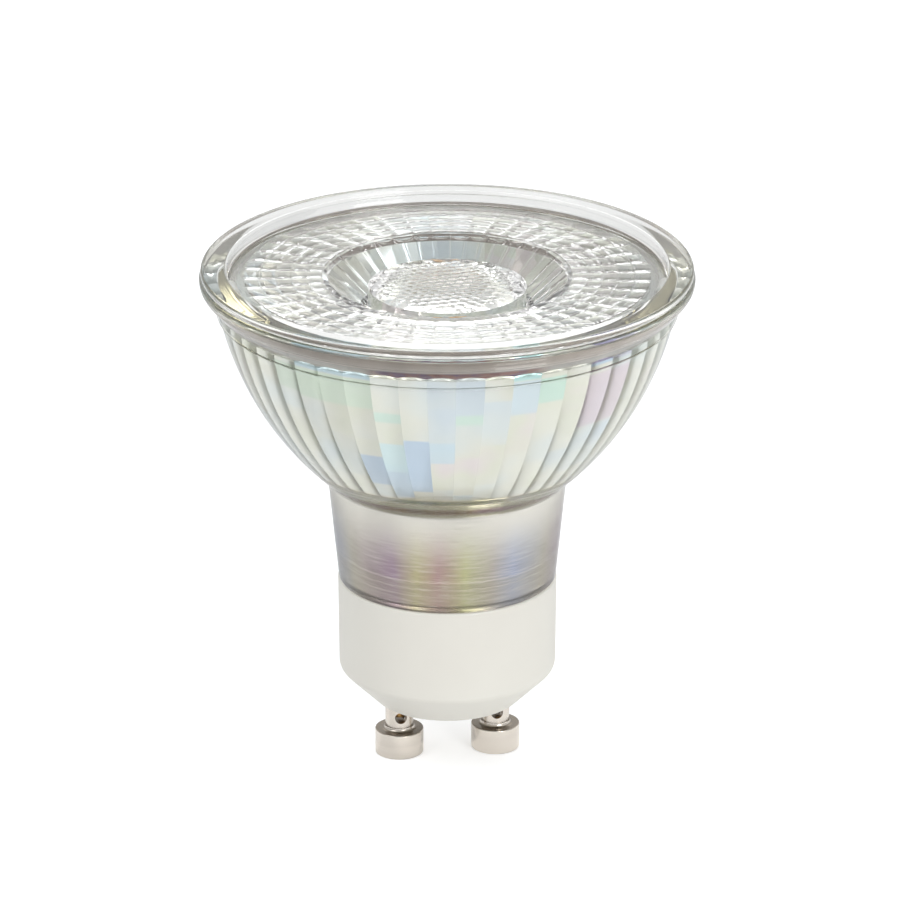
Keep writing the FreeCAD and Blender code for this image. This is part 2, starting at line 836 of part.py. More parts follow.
def make_inductor_winding():
    top = inductor_length - inductor_flange
    outer = inductor_r - winding_margin
    winding = turned(
        (inductor_hub_r, inductor_flange),
        (outer, inductor_flange),
        (outer, top),
        (inductor_hub_r, top),
    )
    return facing_board(winding, inductor_x, inductor_lift)


def make_resistor():
    """Axial resistor behind the board, with both leads bent into it."""
    y = board_back_y - part_gap - resistor_r
    bottom_z = base_floor_z + resistor_lift
    top_z = bottom_z + resistor_length
    body = upright_cylinder(resistor_x, y, bottom_z, top_z, resistor_r)
    end_edges = [edge for edge in body.Edges if isinstance(edge.Curve, Part.Circle)]
    body = body.makeFillet(resistor_r / 3, end_edges)
    (_, low), (_, high) = resistor_lead_places()
    for end_z, lead_z in ((bottom_z + part_gap, low), (top_z - part_gap, high)):
        corners = [
            FreeCAD.Vector(resistor_x, y, end_z),
            FreeCAD.Vector(resistor_x, y, lead_z),
            FreeCAD.Vector(resistor_x, board_front_y + hole_fit, lead_z),
        ]
        body = body.fuse(bent_wire(corners, cap_lead_r, 2 * cap_lead_r))
    return body


def make_package(x, lift, length, width, pitch, leads_per_side, lead_width):
    """Moulded package on the back of the board, with flat leads along both sides."""
    z = base_floor_z + lift
    body_y = board_back_y - package_lead_thickness - package_thickness
    package = block(x, body_y, z, width, package_thickness, length)
    mid_y = body_y + package_thickness / 2
    for side in (-1, 1):
        for index in range(leads_per_side):
            lead_z = z + (index - (leads_per_side - 1) / 2) * pitch
            arm_x = x + side * (width / 2 + package_lead_reach / 4)
            arm = block(arm_x, mid_y, lead_z, package_lead_reach / 2, package_lead_thickness, lead_width)
            leg_x = x + side * (width / 2 + package_lead_reach / 2)
            leg = block(leg_x, mid_y, lead_z, package_lead_thickness, board_back_y - mid_y, lead_width)
            foot_x = x + side * (width / 2 + 3 * package_lead_reach / 4)
            foot_y = board_back_y - package_lead_thickness
            foot = block(foot_x, foot_y, lead_z, package_lead_reach / 2, package_lead_thickness, lead_width)
            package = package.fuse([arm, leg, foot])
    return package


def make_chip_resistors():
    chips = []
    for x in chip_x:
        y = board_back_y - chip_thickness
        chips.append(block(x, y, base_floor_z + chip_lift, chip_width, chip_thickness, chip_length))
    return Part.Compound(chips)


def make_mains_lead(side):
    """Stiff lead that ends at the cross hole of its pin and is soldered into the board."""
    x = side * pin_spacing / 2
    board_z = base_floor_z + lead_board_lift
    corners = [
        FreeCAD.Vector(x, 0, pin_cross_height - pin_bore_r / 2),
        FreeCAD.Vector(x, 0, board_z),
        FreeCAD.Vector(x, board_back_y - lead_tail, board_z),
    ]
    return bent_wire(corners, lead_r, lead_bend)


def make_nodes():
    return {
        "glass_reflector": make_reflector(),
        "front_lens": make_lens(),
        "lens_adhesive": make_lens_adhesive(),
        "led_board": make_led_board(),
        "led_packages": make_led_packages(),
        "led_phosphors": make_led_phosphors(),
        "heat_sink": make_heat_sink(),
        "lead_bushes": make_lead_bushes(),
        "supply_pin_left": make_supply_pin(-1),
        "supply_pin_right": make_supply_pin(1),
        "supply_solder": make_supply_solder(),
        "driver_board": make_driver_board(),
        "bulk_capacitor": make_capacitor(
            bulk_cap_x, bulk_cap_lift, bulk_cap_r, bulk_cap_length, bulk_cap_pitch
        ),
        "output_capacitor": make_capacitor(
            output_cap_x, output_cap_lift, output_cap_r, output_cap_length, output_cap_pitch
        ),
        "inductor_core": make_inductor_core(),
        "inductor_winding": make_inductor_winding(),
        "fusible_resistor": make_resistor(),
        "bridge_rectifier": make_package(
            rectifier_x, rectifier_lift, rectifier_length, rectifier_width, rectifier_pitch, 2,
            package_lead_width_wide
        ),
        "driver_chip": make_package(
            ic_x, ic_lift, ic_length, ic_width, ic_pitch, 4, package_lead_width
        ),
        "chip_resistors": make_chip_resistors(),
        "live_lead": make_mains_lead(-1),
        "neutral_lead": make_mains_lead(1),
        "base": make_base(),
        "pin_left": make_pin(-1),
        "pin_right": make_pin(1),
    }


os.makedirs("parts", exist_ok=True)
for name, shape in make_nodes().items():
    shape.exportStep(os.path.join("parts", name + ".step"))
    print(name, len(shape.Solids), round(shape.Volume, 2), shape.isValid())
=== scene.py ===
"""Looks of a glass LED spotlight lamp that stands on its two contact pins."""
import math
import random

import bmesh
import bpy
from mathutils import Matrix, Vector


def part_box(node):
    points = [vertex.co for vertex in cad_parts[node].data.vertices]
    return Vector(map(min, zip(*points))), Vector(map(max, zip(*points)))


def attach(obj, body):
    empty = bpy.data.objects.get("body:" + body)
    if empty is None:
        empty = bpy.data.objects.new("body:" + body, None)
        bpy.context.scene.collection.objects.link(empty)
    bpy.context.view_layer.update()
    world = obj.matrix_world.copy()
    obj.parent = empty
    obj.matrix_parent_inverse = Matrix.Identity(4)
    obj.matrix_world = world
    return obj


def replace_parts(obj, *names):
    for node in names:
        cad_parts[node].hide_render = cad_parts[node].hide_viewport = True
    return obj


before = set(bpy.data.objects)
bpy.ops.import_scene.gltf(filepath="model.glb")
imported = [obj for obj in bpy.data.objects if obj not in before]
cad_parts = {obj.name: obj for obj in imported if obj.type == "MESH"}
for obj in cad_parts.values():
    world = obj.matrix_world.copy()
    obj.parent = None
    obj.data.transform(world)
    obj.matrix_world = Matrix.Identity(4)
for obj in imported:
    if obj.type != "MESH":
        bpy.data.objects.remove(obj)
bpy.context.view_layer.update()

MM = 0.001
# A box's corners and a point's axes
LOW, HIGH = 0, 1
X, Z = 0, 2


def reach(node, corner, axis):
    """Where a node of the frame ends along an axis, in millimetres to the hundredth."""
    return round(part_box(node)[corner][axis] / MM, 2)


# Camera, solved from the photo's ellipses and pins: degrees about the axis and above the
# horizontal, metres from its target, the target's height on the axis in millimetres, and the
# photo's focal length, its width and the target's offset from its middle in pixels
CAMERA_TURN = 7.64
CAMERA_RISE = 22.2
CAMERA_DISTANCE = 0.6767
TARGET_Z = 27
FOCAL_PX = 6629.9
PHOTO_PX = 900
OFFSET_PX = (2.7, 56.0)
SENSOR_MM = 36.0

# Glass: heights and radii in millimetres, as the frame holds them
SHOULDER_Z = reach("glass_reflector", LOW, Z)
GLASS_FOOT_Z = SHOULDER_Z + 0.02
NECK_TOP_Z = 30.6
LEDGE_Z = 33.4
BOWL_TOP_Z = 48.6
BAND_TOP_Z = 49.5
SEAT_Z = 50.96
RIM_TOP_Z = reach("glass_reflector", HIGH, Z)
NECK_BOTTOM_R = 11.13
NECK_TOP_R = 12.2
NECK_WALL = 1.05
BOWL_R = 32.9
BOWL_WALL = 1.75
BOWL_MOUTH_R = 23.06
BAND_R = 23.19
RIM_R = reach("glass_reflector", HIGH, X)
RECESS_R = -reach("lens_adhesive", LOW, X)
MOUTH_R = 21.35
FOOT_CORNER = 0.08
CREASE_IN = 0.03
CREASE_BELOW = 0.28
CREASE_ABOVE = 0.26
SEAM_C = (BAND_R - 0.02, BOWL_TOP_Z + 0.1)
SEAM_R = 0.15
FLARE_END = (RIM_R - 1.0, RIM_TOP_Z - 2.8)
UNDER_RIM_R = 1.2
BEAD_R = 0.4
BEAD_IN = 0.55
LIP_R = 0.3

# Rows of points on the glass: down to the ledge, across it, down inside the neck, up the bowl,
# from the seat to the arches, under their tops and down the flutes
WALL_STEPS = 2
LEDGE_STEPS = 3
NECK_STEPS = 10
BOWL_STEPS = 26
STRIP_ROWS = 3
ARCH_ROWS = 3
FLUTE_ROWS = 30

# Flutes inside the bowl: facets between sharp cusps, with arched tops
FLUTES = 48
POINTS_PER_FLUTE = 8
FLUTE_DEPTH = 0.12
FLUTE_CROWN = 0.05
FLUTE_PHASE = math.radians(-1.6)
ARCH_TOP_Z = SEAT_Z + 0.15
FLUTE_FULL_Z = ARCH_TOP_Z - 1.4
FLUTE_FOOT_Z = LEDGE_Z + 0.6
RUN_IN_R = MOUTH_R - 0.4

# Lens: plate, conical groove, raised centre, and the collimator with its cavity under it
LENS_TOP_Z = reach("lens_adhesive", LOW, Z)
LENS_FOOT_Z = SEAT_Z + 0.02
LENS_R = reach("front_lens", HIGH, X)
LENS_CHAMFER = 0.1
LENS_WALL = 1.2
GROOVE_R = 12.2
GROOVE_DEPTH = 3.4
GROOVE_Z = LENS_TOP_Z - GROOVE_DEPTH
GROOVE_FLOOR = 0.25
BOSS_R = 8.0
BOSS_Z = LENS_TOP_Z - 1.2
HORN_MOUTH_R = 9.3
HORN_FOOT_R = 5.7
HORN_FOOT_Z = reach("front_lens", LOW, Z)
HORN_SWELL = 0.75
HORN_STEPS = 16
CAVITY_MOUTH_R = 4.9
CAVITY_R = 4.3
CAVITY_TOP_Z = HORN_FOOT_Z + 6.5
CAVITY_DOME = 1.2

# Relief of the lens: rings of pillow-shaped cells, and small domes on its centre
LENS_SEED = 4
SECTORS = 45
SECTOR_HALF = math.pi / SECTORS
FACET_RINGS = 5
FACET_IN_R = 12.6
FACET_OUT_R = 20.5
FACET_WIDTH = (FACET_OUT_R - FACET_IN_R) / FACET_RINGS
FACET_PHASE = math.radians(1.2)
FACET_SPREAD = (0.0, 0.08, 0.22, 0.5, 0.78, 0.92)
VALLEY = 0.06
PILLOW = 0.08
CROWN_RANGE = (0.9, 1.1)
WALL_JITTER = 0.012
LENSLET_PITCH = 1.05
LENSLET_TURN = math.radians(7.5)
LENSLET_MARGIN = 0.1
LENSLET_TOP = 0.12
LENSLET_RINGS = ((0.35, 0.105), (0.7, 0.065), (1.0, 0.0))
# How near an edge or point has to lie, in millimetres or in parts of a cell
NEAR = 0.02

# Material slots of the reflector and of the lens
PLAIN, COATED, NECK, BROWN_FRONT = range(4)
CLEAR, MATT_EDGE = range(2)

# Edges sharper than these, in degrees, stay sharp
GLASS_SHARP = 24
LENS_SHARP = 26
FRAME_SHARP = 32


# Shapes

def arc(centre, radius, start, end, steps):
    """Points (r, z) on a circle from one angle to another, both ends included, in degrees."""
    points = []
    for i in range(steps + 1):
        a = math.radians(start + (end - start) * i / steps)
        points.append((centre[0] + radius * math.cos(a), centre[1] + radius * math.sin(a)))
    return points


def line(start, end, steps):
    """Points from start towards end, without start."""
    return [
        (start[0] + (end[0] - start[0]) * i / steps, start[1] + (end[1] - start[1]) * i / steps)
        for i in range(1, steps + 1)
    ]


def bowl_centre():
    """Centre (r, z) of the arc that runs from the neck's top to the bowl's mouth."""
    dx = (BOWL_MOUTH_R - NECK_TOP_R) / 2
    dz = (BOWL_TOP_Z - NECK_TOP_Z) / 2
    half = math.hypot(dx, dz)
    off = math.sqrt(BOWL_R ** 2 - half ** 2) / half
    return (NECK_TOP_R + dx - dz * off, NECK_TOP_Z + dz + dx * off)


BOWL_C = bowl_centre()


def bowl_r(z, inset=0.0):
    """Radius of the bowl at a height, on its outside or a distance inside it."""
    return BOWL_C[0] + math.sqrt((BOWL_R - inset) ** 2 - (BOWL_C[1] - z) ** 2)


def turned(r, a, z):
    """Point at a radius, an angle about the axis and a height."""
    return (r * math.cos(a), r * math.sin(a), z)


def piece_from(mesh, materials, sharp):
    """Smooth piece of a mesh, under the mesh's own name, that rides on the lamp."""
    piece = bpy.data.objects.new(mesh.name, mesh)
    bpy.context.scene.collection.objects.link(piece)
    for material in materials:
        mesh.materials.append(material)
    mesh.shade_smooth()
    mesh.set_sharp_from_angle(angle=math.radians(sharp))
    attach(piece, "root")
    return piece


def reflector_profile():
    """Smooth part of the glass outline: from the flutes' foot down, round and up to the seat."""
    foot_in = NECK_BOTTOM_R - NECK_WALL
    taper = (NECK_TOP_R - NECK_BOTTOM_R) / (NECK_TOP_Z - SHOULDER_Z)
    ledge_in = foot_in + taper * (LEDGE_Z - SHOULDER_Z)
    ledge_out = bowl_r(LEDGE_Z, BOWL_WALL)
    foot_out = NECK_BOTTOM_R - FOOT_CORNER
    points = [(ledge_out, FLUTE_FOOT_Z)]
    points += line(points[-1], (ledge_out, LEDGE_Z), WALL_STEPS)
    points += line(points[-1], (ledge_in, LEDGE_Z), LEDGE_STEPS)
    points += line(points[-1], (foot_in, GLASS_FOOT_Z), NECK_STEPS)
    points += line(points[-1], (foot_out, GLASS_FOOT_Z), 2)
    points += arc((foot_out, GLASS_FOOT_Z + FOOT_CORNER), FOOT_CORNER, -90, 0, 4)[1:]
    start = (NECK_TOP_R - CREASE_IN, NECK_TOP_Z - CREASE_BELOW)
    points += line(points[-1], start, 14)
    corner = (NECK_TOP_R, NECK_TOP_Z)
    after = (bowl_r(NECK_TOP_Z + CREASE_ABOVE), NECK_TOP_Z + CREASE_ABOVE)
    for i in range(1, 6):
        t = i / 5
        r = (1 - t) ** 2 * start[0] + 2 * t * (1 - t) * corner[0] + t * t * after[0]
        z = (1 - t) ** 2 * start[1] + 2 * t * (1 - t) * corner[1] + t * t * after[1]
        points.append((r, z))
    for i in range(1, BOWL_STEPS + 1):
        z = after[1] + (BOWL_TOP_Z - after[1]) * i / BOWL_STEPS
        points.append((bowl_r(z), z))
    points += arc(SEAM_C, SEAM_R, -100, 80, 8)
    points += line((BAND_R, points[-1][1] + 0.02), (BAND_R, BAND_TOP_Z), 3)
    points += line(points[-1], FLARE_END, 3)
    widest = RIM_TOP_Z - 3 * BEAD_R
    under = arc((RIM_R - UNDER_RIM_R, widest), UNDER_RIM_R, -60, 0, 9)
    points += line(points[-1], under[0], 2) + under[1:]
    points += arc((RIM_R - BEAD_R, widest), BEAD_R, 0, 90, 6)[1:]
    points += arc((RIM_R - BEAD_IN, RIM_TOP_Z - BEAD_R), BEAD_R, -90, 90, 10)
    points += line(points[-1], (RECESS_R + LIP_R, RIM_TOP_Z), 4)
    points += arc((RECESS_R + LIP_R, RIM_TOP_Z - LIP_R), LIP_R, 90, 180, 5)[1:]
    points += line(points[-1], (RECESS_R, SEAT_Z), 3)
    points += line(points[-1], (MOUTH_R, SEAT_Z), 2)
    return points


def build_reflector(materials):
    """Lathe of the glass with the fluted, coated surface inside; one row follows the arch tops."""
    segments = FLUTES * POINTS_PER_FLUTE
    half = math.pi / FLUTES
    angles = [2 * math.pi * (i / segments - 0.5 / FLUTES) + FLUTE_PHASE for i in range(segments)]
    across = [(i % POINTS_PER_FLUTE) / POINTS_PER_FLUTE * 2 - 1 for i in range(segments)]
    bulge = [1 - v ** 2 for v in across]
    flat = [math.cos(half) / math.cos(v * half) for v in across]
    cusp_full = bowl_r(FLUTE_FULL_Z, BOWL_WALL)
    arch = ARCH_TOP_Z - FLUTE_FULL_Z
    edge = [
        FLUTE_FULL_Z + arch * (cusp_full + FLUTE_DEPTH * b - MOUTH_R) / (cusp_full - RUN_IN_R)
        for b in bulge
    ]
    profile = reflector_profile()
    verts = [turned(r, a, z) for r, z in profile for a in angles]
    for step in range(1, STRIP_ROWS + 1):
        for a, e in zip(angles, edge):
            verts.append(turned(MOUTH_R, a, SEAT_Z + (e - SEAT_Z) * step / STRIP_ROWS))
    for step in range(1, ARCH_ROWS + 1):
        for a, e, share, b in zip(angles, edge, flat, bulge):
            r = MOUTH_R + (cusp_full * share - FLUTE_CROWN * b - MOUTH_R) * step / ARCH_ROWS
            verts.append(turned(r, a, e + (FLUTE_FULL_Z - e) * step / ARCH_ROWS))
    for step in range(1, FLUTE_ROWS + 1):
        z = FLUTE_FULL_Z + (FLUTE_FOOT_Z - FLUTE_FULL_Z) * step / FLUTE_ROWS
        for a, share, b in zip(angles, flat, bulge):
            verts.append(turned(bowl_r(z, BOWL_WALL) * share - FLUTE_CROWN * b, a, z))

    neck_start = WALL_STEPS + LEDGE_STEPS
    strip_start = len(profile) - 1
    arch_start = strip_start + STRIP_ROWS
    rows = len(verts) // segments
    faces = []
    finishes = []
    for row in range(rows):
        if row < neck_start or row >= arch_start:
            finish = COATED
        elif row < neck_start + NECK_STEPS:
            finish = NECK
        else:
            finish = BROWN_FRONT if row >= strip_start else PLAIN
        low = row * segments
        high = (row + 1) % rows * segments
        for i in range(segments):
            j = (i + 1) % segments
            faces.append((low + i, low + j, high + j, high + i))
            finishes.append(finish)

    mesh = bpy.data.meshes.new("reflector_glass")
    mesh.from_pydata([Vector(v) * MM for v in verts], [], faces)
    mesh.update()
    piece = piece_from(mesh, materials, GLASS_SHARP)
    mesh.polygons.foreach_set("material_index", finishes)
    for mesh_edge in mesh.edges:
        one, other = mesh_edge.vertices
        on_cusp = (one - other) % segments == 0 and one % POINTS_PER_FLUTE == 0
        if on_cusp and min(one, other) >= arch_start * segments:
            mesh_edge.use_edge_sharp = True
    return piece


def lens_path():
    """Outline from the cells over the lens's edge, its underside and collimator to the cavity."""
    slope = math.atan2(GROOVE_DEPTH, GROOVE_R - BOSS_R)
    under = (BOSS_R + LENS_WALL * math.sin(slope), GROOVE_Z - LENS_WALL * math.cos(slope))
    mouth = (HORN_MOUTH_R, under[1] + (HORN_MOUTH_R - under[0]) * math.tan(slope))
    plate = (under[0] + (LENS_FOOT_Z - under[1]) / math.tan(slope), LENS_FOOT_Z)
    path = [(FACET_OUT_R, LENS_TOP_Z), (LENS_R - LENS_CHAMFER, LENS_TOP_Z)]
    path += [(LENS_R, LENS_TOP_Z - LENS_CHAMFER), (LENS_R, LENS_FOOT_Z), plate]
    path += line(plate, mouth, 3)
    for i in range(1, HORN_STEPS + 1):
        t = i / HORN_STEPS
        r = HORN_MOUTH_R + (HORN_FOOT_R - HORN_MOUTH_R) * t + HORN_SWELL * 4 * t * (1 - t)
        path.append((r, mouth[1] + (HORN_FOOT_Z - mouth[1]) * t))
    foot = (CAVITY_MOUTH_R, HORN_FOOT_Z)
    path += [foot] + line(foot, (CAVITY_R, CAVITY_TOP_Z), 4)
    for i in range(1, 6):
        r = CAVITY_R * (1 - i / 6)
        path.append((r, CAVITY_TOP_Z + CAVITY_DOME * (1 - (r / CAVITY_R) ** 2)))
    return path


def add_lenslets(mesh):
    """Honeycomb of small domes on the lens's centre; gives back its points."""
    corner_r = LENSLET_PITCH / math.sqrt(3)
    row_pitch = LENSLET_PITCH * math.sqrt(3) / 2
    reach = int(BOSS_R / row_pitch) + 1
    known = {}

    def corner(x, y, z):
        key = (round(x, 3), round(y, 3))
        if key not in known:
            turned_x = x * math.cos(LENSLET_TURN) - y * math.sin(LENSLET_TURN)
            turned_y = x * math.sin(LENSLET_TURN) + y * math.cos(LENSLET_TURN)
            known[key] = mesh.verts.new((turned_x * MM, turned_y * MM, z * MM))
        return known[key]

    for row in range(-reach, reach + 1):
        y = row * row_pitch
        for column in range(-reach, reach + 1):
            x = (column + (row % 2) / 2) * LENSLET_PITCH
            if math.hypot(x, y) + corner_r > BOSS_R - LENSLET_MARGIN:
                continue
            inner = [corner(x, y, BOSS_Z + VALLEY + LENSLET_TOP)]
            for share, height in LENSLET_RINGS:
                outer = []
                for turn in range(6):
                    a = math.pi * (2 * turn + 1) / 6
                    outer.append(corner(
                        x + share * corner_r * math.cos(a),
                        y + share * corner_r * math.sin(a),
                        BOSS_Z + VALLEY + height,
                    ))
                for turn in range(6):
                    following = (turn + 1) % 6
                    corners = [inner[turn % len(inner)], outer[turn], outer[following]]
                    if len(inner) > 1:
                        corners.append(inner[following])
                    mesh.faces.new(corners)
                inner = outer
    return set(known.values())


def mark_lens_creases(mesh):
    """Sharp edges between the groove's panels and in the valleys between the cells."""
    for edge in mesh.edges:
        low, high = (mesh.vertices[index].co for index in edge.vertices)
        radii = [spot.xy.length / MM for spot in (low, high)]
        heights = [spot.z / MM for spot in (low, high)]
        in_groove = all(
            BOSS_R + 0.2 < r < GROOVE_R + 0.1 and GROOVE_Z - 0.01 < z < LENS_TOP_Z + 0.01
            for r, z in zip(radii, heights)
        )
        turn = (math.atan2(low.y, low.x) - FACET_PHASE) / (2 * SECTOR_HALF)
        on_radius = abs(turn - round(turn)) < NEAR
        if in_groove and abs(low.z - high.z) > 0.1 * MM:
            edge.use_edge_sharp = on_radius
        rings_out = [(r - FACET_IN_R) / FACET_WIDTH for r in radii]
        in_cells = all(-NEAR < out < FACET_RINGS + NEAR for out in rings_out)
        if in_cells and heights[0] > LENS_TOP_Z:
            along_ring = abs(rings_out[0] - rings_out[1]) < NEAR
            on_ring = along_ring and abs(rings_out[0] - round(rings_out[0])) < NEAR
            edge.use_edge_sharp = on_ring or (on_radius and not along_ring)


def build_lens(materials):
    """Lens: domes on its centre, groove, pillow-shaped cells, edge, underside and collimator."""
    per = len(FACET_SPREAD)
    segments = SECTORS * per
    across = [FACET_SPREAD[i % per] for i in range(segments)]
    angles = [2 * SECTOR_HALF * (i // per + v) + FACET_PHASE for i, v in enumerate(across)]
    chance = random.Random(LENS_SEED)
    tilts = [(chance.uniform(-1, 1) * WALL_JITTER, chance.uniform(-1, 1) * WALL_JITTER)
             for _ in range(SECTORS)]
    crowns = [[chance.uniform(*CROWN_RANGE) for _ in range(SECTORS)] for _ in range(FACET_RINGS)]
    flat = []
    for i, v in enumerate(across):
        start, end = tilts[i // per]
        tilt = start + (end - start) * v if v else 0.0
        flat.append(math.cos(SECTOR_HALF) / math.cos((2 * v - 1) * SECTOR_HALF) * (1 + tilt))
    build = bmesh.new()

    def crown(share):
        """Height of a cell across its width: gently domed, steep at its edges."""
        return 1 - 0.35 * (2 * share - 1) ** 2 - 0.65 * abs(2 * share - 1) ** 6

    def ring(r, z, shares=(1,) * segments, lifts=(0,) * segments):
        return [
            build.verts.new([value * MM for value in turned(r * share, a, z + lift)])
            for a, share, lift in zip(angles, shares, lifts)
        ]

    def skin(lower, upper):
        for i in range(segments):
            j = (i + 1) % segments
            build.faces.new((lower[i], lower[j], upper[j], upper[i]))
        return upper

    here = boss_edge = ring(BOSS_R, BOSS_Z)
    for z in (BOSS_Z - 1.0, GROOVE_Z):
        here = skin(here, ring(BOSS_R, z))
    groove_foot = ((BOSS_R + GROOVE_FLOOR) / math.cos(SECTOR_HALF), GROOVE_Z)
    for r, z in [groove_foot] + line(groove_foot, (GROOVE_R, LENS_TOP_Z), 4):
        here = skin(here, ring(r, z, flat))
    here = skin(here, ring(FACET_IN_R, LENS_TOP_Z))
    for index in range(FACET_RINGS):
        for u in FACET_SPREAD[index > 0:] + (1.0,):
            lifts = [
                PILLOW * crowns[index][i // per] * crown(u) * crown(v)
                for i, v in enumerate(across)
            ]
            r = FACET_IN_R + (index + u) * FACET_WIDTH
            here = skin(here, ring(r, LENS_TOP_Z + VALLEY, lifts=lifts))
    for r, z in lens_path():
        here = skin(here, ring(r, z))
    build.faces.new(here)

    lenslets = add_lenslets(build)
    build.edges.ensure_lookup_table()
    jagged = [e for e in build.edges if e.is_boundary and set(e.verts) <= lenslets]
    circle = [e for e in build.edges if e.is_boundary and set(e.verts) <= set(boss_edge)]
    bmesh.ops.triangle_fill(build, use_beauty=True, edges=jagged + circle)
    bmesh.ops.recalc_face_normals(build, faces=build.faces)
    mesh = bpy.data.meshes.new("lens_body")
    build.to_mesh(mesh)
    build.free()
    piece = piece_from(mesh, materials, LENS_SHARP)
    for polygon in mesh.polygons:
        spots = [mesh.vertices[index].co.xy.length / MM for index in polygon.vertices]
        polygon.material_index = MATT_EDGE if min(spots) > LENS_R - NEAR else CLEAR
    mark_lens_creases(mesh)
    return piece


# Colours

def tone(red, green, blue):
    """Linear colour from the 0-255 values that a picture shows."""
    def linear(value):
        value /= 255
        return value / 12.92 if value <= 0.04045 else ((value + 0.055) / 1.055) ** 2.4
    return (linear(red), linear(green), linear(blue))


# Clear finishes: depth of their waves, and the colour and density that glass has in bulk
WAVE_MM = 0.05
GLASS_TINT = (0.83, 0.815, 0.72)
GLASS_DENSITY = 60.0

# Coat of the bowl: blocks of colour on each flute, mixed with a slow drift
FLUTE_STEP = 360 / FLUTES
CUSP_TURN = math.degrees(FLUTE_PHASE) + FLUTE_STEP / 2
BLOCK_MM = 5.2
BLOCK_JUMP_MM = 9.0
PEARL = (
    (0.34, tone(210, 221, 229)), (0.43, tone(220, 227, 226)), (0.50, tone(227, 228, 219)),
    (0.57, tone(223, 225, 211)), (0.64, tone(229, 221, 222)), (0.71, tone(228, 219, 211)),
)
# Panels of painted reflection on the coat, in its pastel tints: first flute, how many, lowest and
# highest z, colour
REFLECTION_PANELS = (
    (-5, 1, 36.0, 39.8, tone(186, 205, 226)),
    (-4, 1, 34.5, 38.0, tone(196, 214, 230)),
    (-4, 1, 38.0, 41.6, tone(206, 230, 236)),
    (-3, 1, 35.4, 42.2, tone(184, 205, 228)),
    (-2, 1, 39.4, 42.0, tone(204, 224, 236)),
    (-4, 1, 44.2, 45.3, tone(202, 226, 216)),
    (-1, 1, 44.2, 45.3, tone(206, 230, 218)),
    (-8, 1, 46.0, 48.6, tone(208, 222, 208)),
    (-7, 3, 45.6, 48.6, tone(212, 228, 212)),
    (-7, 3, 48.7, 51.0, tone(190, 216, 230)),
    (1, 1, 48.7, 51.0, tone(182, 224, 226)),
    (1, 1, 45.0, 48.6, tone(206, 222, 232)),
    (2, 1, 46.0, 48.6, tone(196, 226, 214)),
    (4, 1, 49.4, 51.0, tone(166, 160, 206)),
    (4, 1, 48.7, 49.4, tone(180, 206, 230)),
    (4, 2, 42.0, 48.0, tone(216, 204, 214)),
    (5, 1, 48.7, 51.0, tone(196, 196, 214)),
)
REFLECTION_PANEL_SHARE = 0.85
REFLECTION_PANEL_BLUR = 0.12
# Olive edge at the bowl's foot and the heights between which it fades out
OLIVE = ((0.4, tone(196, 190, 150)), (0.6, tone(206, 196, 178)))
OLIVE_Z = (33.9, 34.5)

# Film of the neck: its colours repeat after so many degrees, and it thins out with height. Its
# colours are the coat's iridescence together with painted reflection, and its fade makes the neck
# darker towards the bottom, which is painted shade
FILM_TURN = 120.0
FILM_START = (60 + CAMERA_TURN) / FILM_TURN - 0.04
FILM_WARP = 0.08
FILM_AND_REFLECTION = (
    (0.0, tone(172, 166, 150)), (0.25, tone(162, 136, 158)), (0.37, tone(180, 172, 126)),
    (0.46, tone(172, 138, 136)), (0.58, tone(184, 184, 130)), (0.70, tone(168, 160, 152)),
    (0.82, tone(158, 166, 190)), (1.0, tone(172, 166, 150)),
)
FILM_SHADE_Z = (23.5, 30.5)
BARE_NECK = tone(228, 225, 216)
# Painted glints and painted shade, streaked along the neck
PAINTED_GLINT = tone(228, 224, 216)
PAINTED_SHADE = tone(132, 122, 112)
# Above it a cream collar and a rose band, below it a dull band with pale lines: height, share
COLLAR = tone(208, 202, 172)
COLLAR_Z = (30.4, 31.4)
ROSE = ((0.4, tone(140, 100, 116)), (0.6, tone(150, 116, 92)))
ROSE_Z = (31.6, 32.5)
DULL = tone(156, 148, 126)
DULL_Z = (22.8, 22.95)
PALE_LINE = tone(232, 226, 212)
PALE_LINES = ((22.7, 0.6), (21.9, 0.45), (21.1, 0.3))
LINE_MM = 0.07

# Strip over the arches: the angles and heights between which it turns brown
STRIP_PALE = tone(188, 186, 180)
STRIP_BROWN = ((0.38, tone(112, 34, 28)), (0.52, tone(126, 66, 44)), (0.62, tone(84, 32, 84)))
STRIP_TURN = (-27.0, 17.0)
STRIP_Z = (50.7, 50.95)

# Nickel: its tones, its painted shade on faces that look up or down, the stretch of its marks
NICKEL_TONES = ((0.35, (0.62, 0.57, 0.51)), (0.65, (0.69, 0.64, 0.575)))
NICKEL_PAINTED_SHADE = (0.16, 0.135, 0.105)
TURNED = (0.05, 0.05, 1)

# Studio: strengths of the world and the floor, the floor's half width, where lights aim
AMBIENT = 0.62
AMBIENT_TINT = (0.93, 0.96, 1.0, 1.0)
WHITE_LIGHT = (1, 1, 1, 1)
FLOOR_GLOW = 0.36
MIRRORED_GLOW = 0.42
FLOOR_HALF = 4.0
LIGHT_AIM = (0, 0, 0.03)
# Softboxes: name, place and size in metres, power in watts
SOFTBOXES = (
    ("key", (-0.35, -0.2, 0.55), (0.4, 0.4), 1.1),
    ("fill", (0.3, -0.55, 0.32), (0.3, 0.45), 1.8),
    ("back", (0.05, 0.5, 0.45), (0.5, 0.25), 0.9),
)


# Materials

